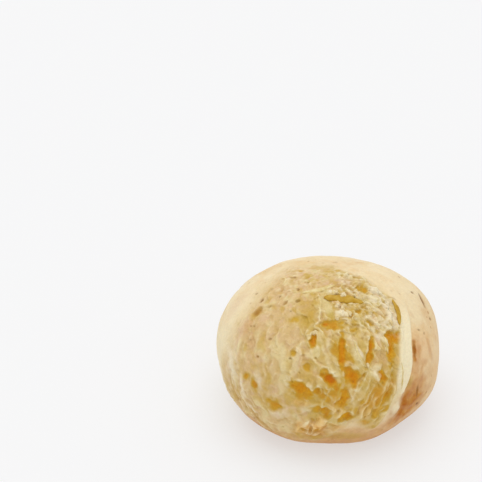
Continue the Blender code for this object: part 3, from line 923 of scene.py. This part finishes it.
def ball_surface():
    """The ball: a cube cut into a grid, rounded, turned and crowded towards the torn face, with relief."""
    mesh = bpy.data.meshes.new("baked_ball")
    cage = bmesh.new()
    bmesh.ops.create_cube(cage, size=2)
    bmesh.ops.subdivide_edges(cage, edges=cage.edges[:], cuts=EDGE_CUTS, use_grid_fill=True)
    cage.to_mesh(mesh)
    cage.free()
    grid = np.empty(len(mesh.vertices) * 3)
    mesh.vertices.foreach_get("co", grid)
    cube = np.tan(grid.reshape(-1, 3) * math.pi / 4)
    directions = crowd(cube @ FACE_AXES / np.linalg.norm(cube, axis=1)[:, None])
    surface = Surface(directions)
    points = surface.points()
    ground = Ground(points)
    points = ground.fitted(points)
    mesh.vertices.foreach_set("co", points.ravel())
    mesh.shade_smooth()
    edges = np.empty(len(mesh.edges) * 2, int)
    mesh.edges.foreach_get("vertices", edges)
    relief = surface.fine + surface.rims()
    standing = relief - blurred(relief, edges.reshape(-1, 2), BLUR_ROUNDS)
    put_attributes(mesh, surface, standing, points)
    mesh.materials.append(baked_material())
    return placed("baked_ball", mesh), ground


def blurred(values, edges, rounds):
    """Values averaged with their neighbours along the edges, again and again."""
    count = np.bincount(edges.ravel(), minlength=len(values))
    for _ in range(rounds):
        total = np.bincount(edges[:, 0], values[edges[:, 1]], len(values))
        total += np.bincount(edges[:, 1], values[edges[:, 0]], len(values))
        values = 0.5 * values + 0.5 * total / count
    return values


def strip(route, ground, width, thickness, rise, seed):
    """The corners and faces of a tapered strip that lies along a route of directions on the ball."""
    line = ground.at(route)
    for _ in range(4):
        line[1:-1] = 0.5 * line[1:-1] + 0.25 * (line[:-2] + line[2:])
    steps = len(route)
    share = np.linspace(0, 1, steps)
    taper = np.clip(4 * share * (1 - share), 0.02, 1) ** 0.5
    taper *= 1 + 0.22 * noise(line, 1.6 * MM, seed)
    way = np.gradient(line, axis=0)
    way /= np.linalg.norm(way, axis=1)[:, None]
    beside = np.cross(way, route)
    beside /= np.linalg.norm(beside, axis=1)[:, None]
    corners = []
    for turn in np.arange(STRIP_SIDES) * 2 * math.pi / STRIP_SIDES:
        across = np.sign(math.cos(turn)) * abs(math.cos(turn)) ** 0.8 * width / 2 * taper
        upward = rise + math.sin(turn) * thickness / 2 * np.sqrt(taper)
        corners.append(line + beside * across[:, None] + route * upward[:, None])
    corners = np.stack(corners, axis=1).reshape(-1, 3)
    faces = []
    last = (steps - 1) * STRIP_SIDES
    for near in range(0, last, STRIP_SIDES):
        far = near + STRIP_SIDES
        for j in range(STRIP_SIDES):
            k = (j + 1) % STRIP_SIDES
            faces.append((near + j, near + k, far + k, far + j))
    faces += [tuple(range(STRIP_SIDES))[::-1], tuple(range(last, last + STRIP_SIDES))]
    return corners, faces


def strips(name, rows, ground, material, steps):
    """One mesh of strips, each given as its width, thickness and rise (mm), then places along it."""
    corners, faces = [], []
    for seed, (width, thickness, rise, *places) in enumerate(rows):
        route = smooth_route(np.array([on_face(*place) for place in places]), steps)
        more, ends = strip(route, ground, width * MM, thickness * MM, rise * MM, seed + 200)
        shift = len(corners)
        corners.extend(more.tolist())
        faces.extend([tuple(shift + corner for corner in face) for face in ends])
    return new_piece(name, corners, faces, material)


def crumbs(ground, material):
    """Small lumps of curd that sit in the torn face."""
    ball = bmesh.new()
    bmesh.ops.create_icosphere(ball, subdivisions=3, radius=1)
    unit = np.array([corner.co[:] for corner in ball.verts])
    sides = [[corner.index for corner in face.verts] for face in ball.faces]
    ball.free()
    corners, faces = [], []
    centres = ground.at(np.array([on_face(lon, lat) for lon, lat, *_ in CRUMBS]))
    for seed, (centre, (lon, lat, length, width, tilt, rise)) in enumerate(zip(centres, CRUMBS)):
        middle = on_face(lon, lat)
        axes = np.array((*tilted(middle, tilt), middle))
        lumpy = unit * (1 + 0.6 * layered(unit, 0.9, 3, seed + 300))[:, None]
        size = np.array((length, width, 0.8 * width)) / 2 * MM
        faces.extend([[len(corners) + corner for corner in side] for side in sides])
        corners.extend((centre + (lumpy * size) @ axes + middle * rise * MM).tolist())
    return new_piece("curd_crumbs", corners, faces, material)


# ---------------------------------------------------------------- what the materials read

def tinted(s):
    """How strong each tint is: those of the table, and patches drawn out the way the dough was pulled."""
    strength = {name: np.zeros(len(s.places)) for name in TINTS}

    def add(name, share):
        strength[name] = np.maximum(strength[name], share)

    seed = 120
    for name, rows in TINTS.items():
        for out, (share,) in s.blots(rows, 0.5, seed):
            add(name, share * ease(1.5, 0.3, out))
        seed += len(rows)
    for seed, (name, share) in enumerate((("olive", 0.7), ("pink", 0.6), ("cream", 0.7), ("golden", 0.3))):
        patch = s.grain(3, 0.5, -20, 110 + 3 * seed)
        patch += 0.5 * s.grain(1.3, 0.6, -20, 111 + 3 * seed)
        add(name, s.torn * share * ease(0.1, 0.8, patch))
    for seed, name in enumerate(("olive", "pink")):
        mottle = ease(0.2, 0.7, noise(s.ruffled, 1.3 * MM, 130 + seed))
        add(name, s.torn * np.clip(s.upper + s.soft, 0, 1) * 0.8 * mottle)
    add("pink", 0.45 * s.torn * s.soft)
    flake = ease(0, 0.6, s.grain(1, 0.6, -40, 136))
    flake *= 0.35 + 0.5 * ease(16, 38, s.lon)
    add("white", s.torn * s.curdy * flake)
    moss = ease(0.2, 0.7, noise(s.ruffled, 1.5 * MM, 138))
    add("olive", 0.8 * s.torn * (s.curdy + s.rough) * moss)
    reach = s.torn * s.low * ease(4, 16, s.lon)
    add("golden", 0.6 * reach * ease(0, 0.6, s.grain(1.3, 0.25, 28, 133)))
    return strength


def golden_share(s, relief, over, golden):
    """How golden the torn face is: in the pockets, in deep places, and along the lip's groove."""
    low = ease(-24, 0, s.lon) * ease(46, 36, s.lon)
    low *= ease(2, -16, s.lat) * ease(-52, -42, s.lat)
    deep = ease(-0.2, -1.2, relief) * (0.25 + 0.45 * low)
    groove = 0.35 * s.groove * ease(22, 8, s.lat)
    gold = np.maximum.reduce((s.gold * (0.25 + 0.75 * s.torn), s.torn * golden, s.torn * deep, groove))
    return np.clip(gold * (1 - 0.6 * over), 0, 1)


def toast_and_foot_shade_share(s, height):
    """How browned the crust is: round the foot, low on the right, in streaks, specks, cracks and stains.
    Towards the foot it is partly painted shade.
    """
    # Browner towards the foot: partly baked crust, partly painted shade low on the ball.
    foot = ease(0.3, 0.05, height + 0.05 * noise(s.places, 7 * MM, 95))
    right_low = s.blot(53, -31, 11, 6.5, 66, 0.3, 96)
    side = ease(1.7, 0.3, right_low) * (1 - s.torn)
    streak = ease(-0.1, 0.8, noise(warped(s.places, 5 * MM, 2 * MM, 60), 3.2 * MM, 99))
    streak *= ease(2.2 * MM, 3.2 * MM, s.across) * ease(16, -4, s.lat)
    streak *= ease(110, 60, s.lon)
    speck = ease(0.1, 0.8, noise(s.places, 2.2 * MM, 97))
    speck *= ease(0, 0.6, noise(s.places, 8 * MM, 98))
    total = 0.55 * foot + 0.85 * side + 0.35 * streak + 0.15 * speck * (1 - s.torn)
    total += 0.5 * ease(0, 0.3 * MM, s.slit)
    total = np.clip(total, 0, 1) * (1 - 0.4 * s.torn)
    for out, (share,) in s.blots(STAINS, 0.6, 160):
        total = np.maximum(total, share * ease(1.5, 0.3, out))
    return total


def put_attributes(mesh, s, standing, points):
    """Writes what the materials read: how strong each colour is at each point, and the relief."""
    relief = np.clip(standing / (0.3 * MM), -1.5, 1.5)
    over = np.clip(s.crest, 0, 1) * s.torn
    tints = tinted(s)
    curd = 0.6 * s.torn * np.clip(s.curd / (0.4 * MM), 0, 1)
    curd *= 1 - 0.9 * tints["peach"]
    tan = ease(1.9 * MM, 2.6 * MM, s.across) * ease(16, -4, s.lat)
    tan *= 0.35 + 0.65 * ease(70, 56, s.lon)
    tan = np.maximum(tan, 0.8 * ease(4 * MM, 14 * MM, s.across) * ease(30, -16, s.lat))
    tan *= ease(150, 80, s.lon) * (0.75 + 0.4 * s.wobble)
    # Tan towards the foot: partly baked crust, partly painted shade low on the ball.
    tan = np.maximum(tan, 0.8 * ease(0.34, 0.12, points[:, 2] / HEIGHT))
    # Painted shade: the pits are darkened with the marks' brown, more so higher up the face.
    pits = s.pit * (0.22 + 0.22 * ease(5, 25, s.lat))
    mark = np.maximum.reduce((s.mark, pits, 0.7 * s.slit_dark))
    # The share on crests of the folds (over) is painted highlight.
    pale = 0.9 * s.band + 0.3 * over * (1 - 0.6 * s.low) * (1 - 0.5 * s.soft) + curd + 0.4 * s.rim * s.torn
    # Painted light: the crust is made paler towards the left side, more so below the middle.
    flank = 0.3 + 0.35 * ease(22, -2, s.lat)
    pale += flank * (1 - s.torn) * ease(0.6, 0.95, -s.directions[:, 0])
    fields = {
        "torn": s.torn * (1 - 0.2 * s.soft) * (1 - 0.5 * ease(42, 64, s.lat)),
        "relief": relief * s.torn,
        "olive": tints["olive"],
        "pink": tints["pink"],
        "cream": tints["cream"] * (1 - s.gold),
        "white": tints["white"] * (1 - s.gold),
        "peach": tints["peach"] * (1 - 0.8 * s.gold),
        "gold": golden_share(s, relief, over, tints["golden"]) * (1 - 0.8 * tints["white"]),
        "orange": s.orange * s.torn * (1 - over),
        "mark": mark,
        "toast_and_foot_shade": toast_and_foot_shade_share(s, points[:, 2] / HEIGHT),
        "tan": tan,
        "pale": pale * (1 - mark),
    }
    for name, values in fields.items():
        if name != "relief":
            values = np.clip(values, 0, 1)
        mesh.attributes.new(name, "FLOAT", "POINT").data.foreach_set("value", values.astype(np.float32))


# ---------------------------------------------------------------- stage

CAMERA_ELEVATION = 33
CAMERA_PLACE = (-0.02142, -0.37978, 0.29306)
CAMERA_LENS, CAMERA_SENSOR = 141.81, 36.0

# One broad soft lamp above and behind, an even sky, and a floor that glows a little, so that its shadows
# are light.
SKY_STRENGTH = 0.8
SUN_STRENGTH, SUN_SPREAD = 0.95, 60
SUN_TURN = (-9, -3, 0)
FLOOR_COLOUR = (165, 165, 166)
FLOOR_GLOW = 0.52
FLOOR_REACH, FLOOR_GAP = 6, 0.05 * MM


def camera():
    """Level from side to side, looking down at the ball from the front."""
    data = bpy.data.cameras.new("camera")
    data.lens = CAMERA_LENS
    data.sensor_width = CAMERA_SENSOR
    data.clip_start, data.clip_end = 0.01, 50.0
    eye = placed("camera", data)
    eye.location = CAMERA_PLACE
    eye.rotation_euler = (math.radians(90 - CAMERA_ELEVATION), 0, 0)
    bpy.context.scene.camera = eye


def floor():
    """A wide pale floor just under the ball."""
    n = Nodes("floor")
    n.set("Base Color", linear(*FLOOR_COLOUR))
    n.set("Roughness", 0.9)
    n.set("Specular IOR Level", 0)
    n.set("Emission Color", (1, 1, 1, 1))
    n.set("Emission Strength", FLOOR_GLOW)
    corners = [(x * FLOOR_REACH, y * FLOOR_REACH, 0) for x, y in ((-1, -1), (1, -1), (1, 1), (-1, 1))]
    plane = new_piece("floor", corners, [(0, 1, 2, 3)], n.material)
    plane.location = (0, 0, BALL_LOW[2] - FLOOR_GAP)


def lights():
    """The sky, the lamp and plain colours."""
    world = bpy.data.worlds.new("studio")
    world.use_nodes = True
    sky = world.node_tree.nodes["Background"]
    sky.inputs["Color"].default_value = (1, 1, 1, 1)
    sky.inputs["Strength"].default_value = SKY_STRENGTH
    bpy.context.scene.world = world
    data = bpy.data.lights.new("softbox", "SUN")
    data.energy = SUN_STRENGTH
    data.angle = math.radians(SUN_SPREAD)
    lamp = placed("softbox", data)
    lamp.rotation_euler = [math.radians(angle) for angle in SUN_TURN]
    view = bpy.context.scene.view_settings
    view.view_transform = "Standard"
    view.look = "None"


def main():
    camera()
    floor()
    lights()
    ball, ground = ball_surface()
    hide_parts("cheese_ball")
    melted = crumb_material("melted_cheese", (188, 142, 16), (204, 165, 58), 0.3)
    drawn = crumb_material("drawn_dough", (216, 190, 118), (236, 218, 164), 0.25)
    curd = crumb_material("curd", (222, 196, 140), (238, 220, 172), 0.25)
    pieces = (
        ball,
        strips("cheese_shreds", SHREDS, ground, melted, SHRED_STEPS),
        strips("dough_threads", THREADS, ground, drawn, THREAD_STEPS),
        crumbs(ground, curd),
    )
    for piece in pieces:
        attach(piece, "root")


main()
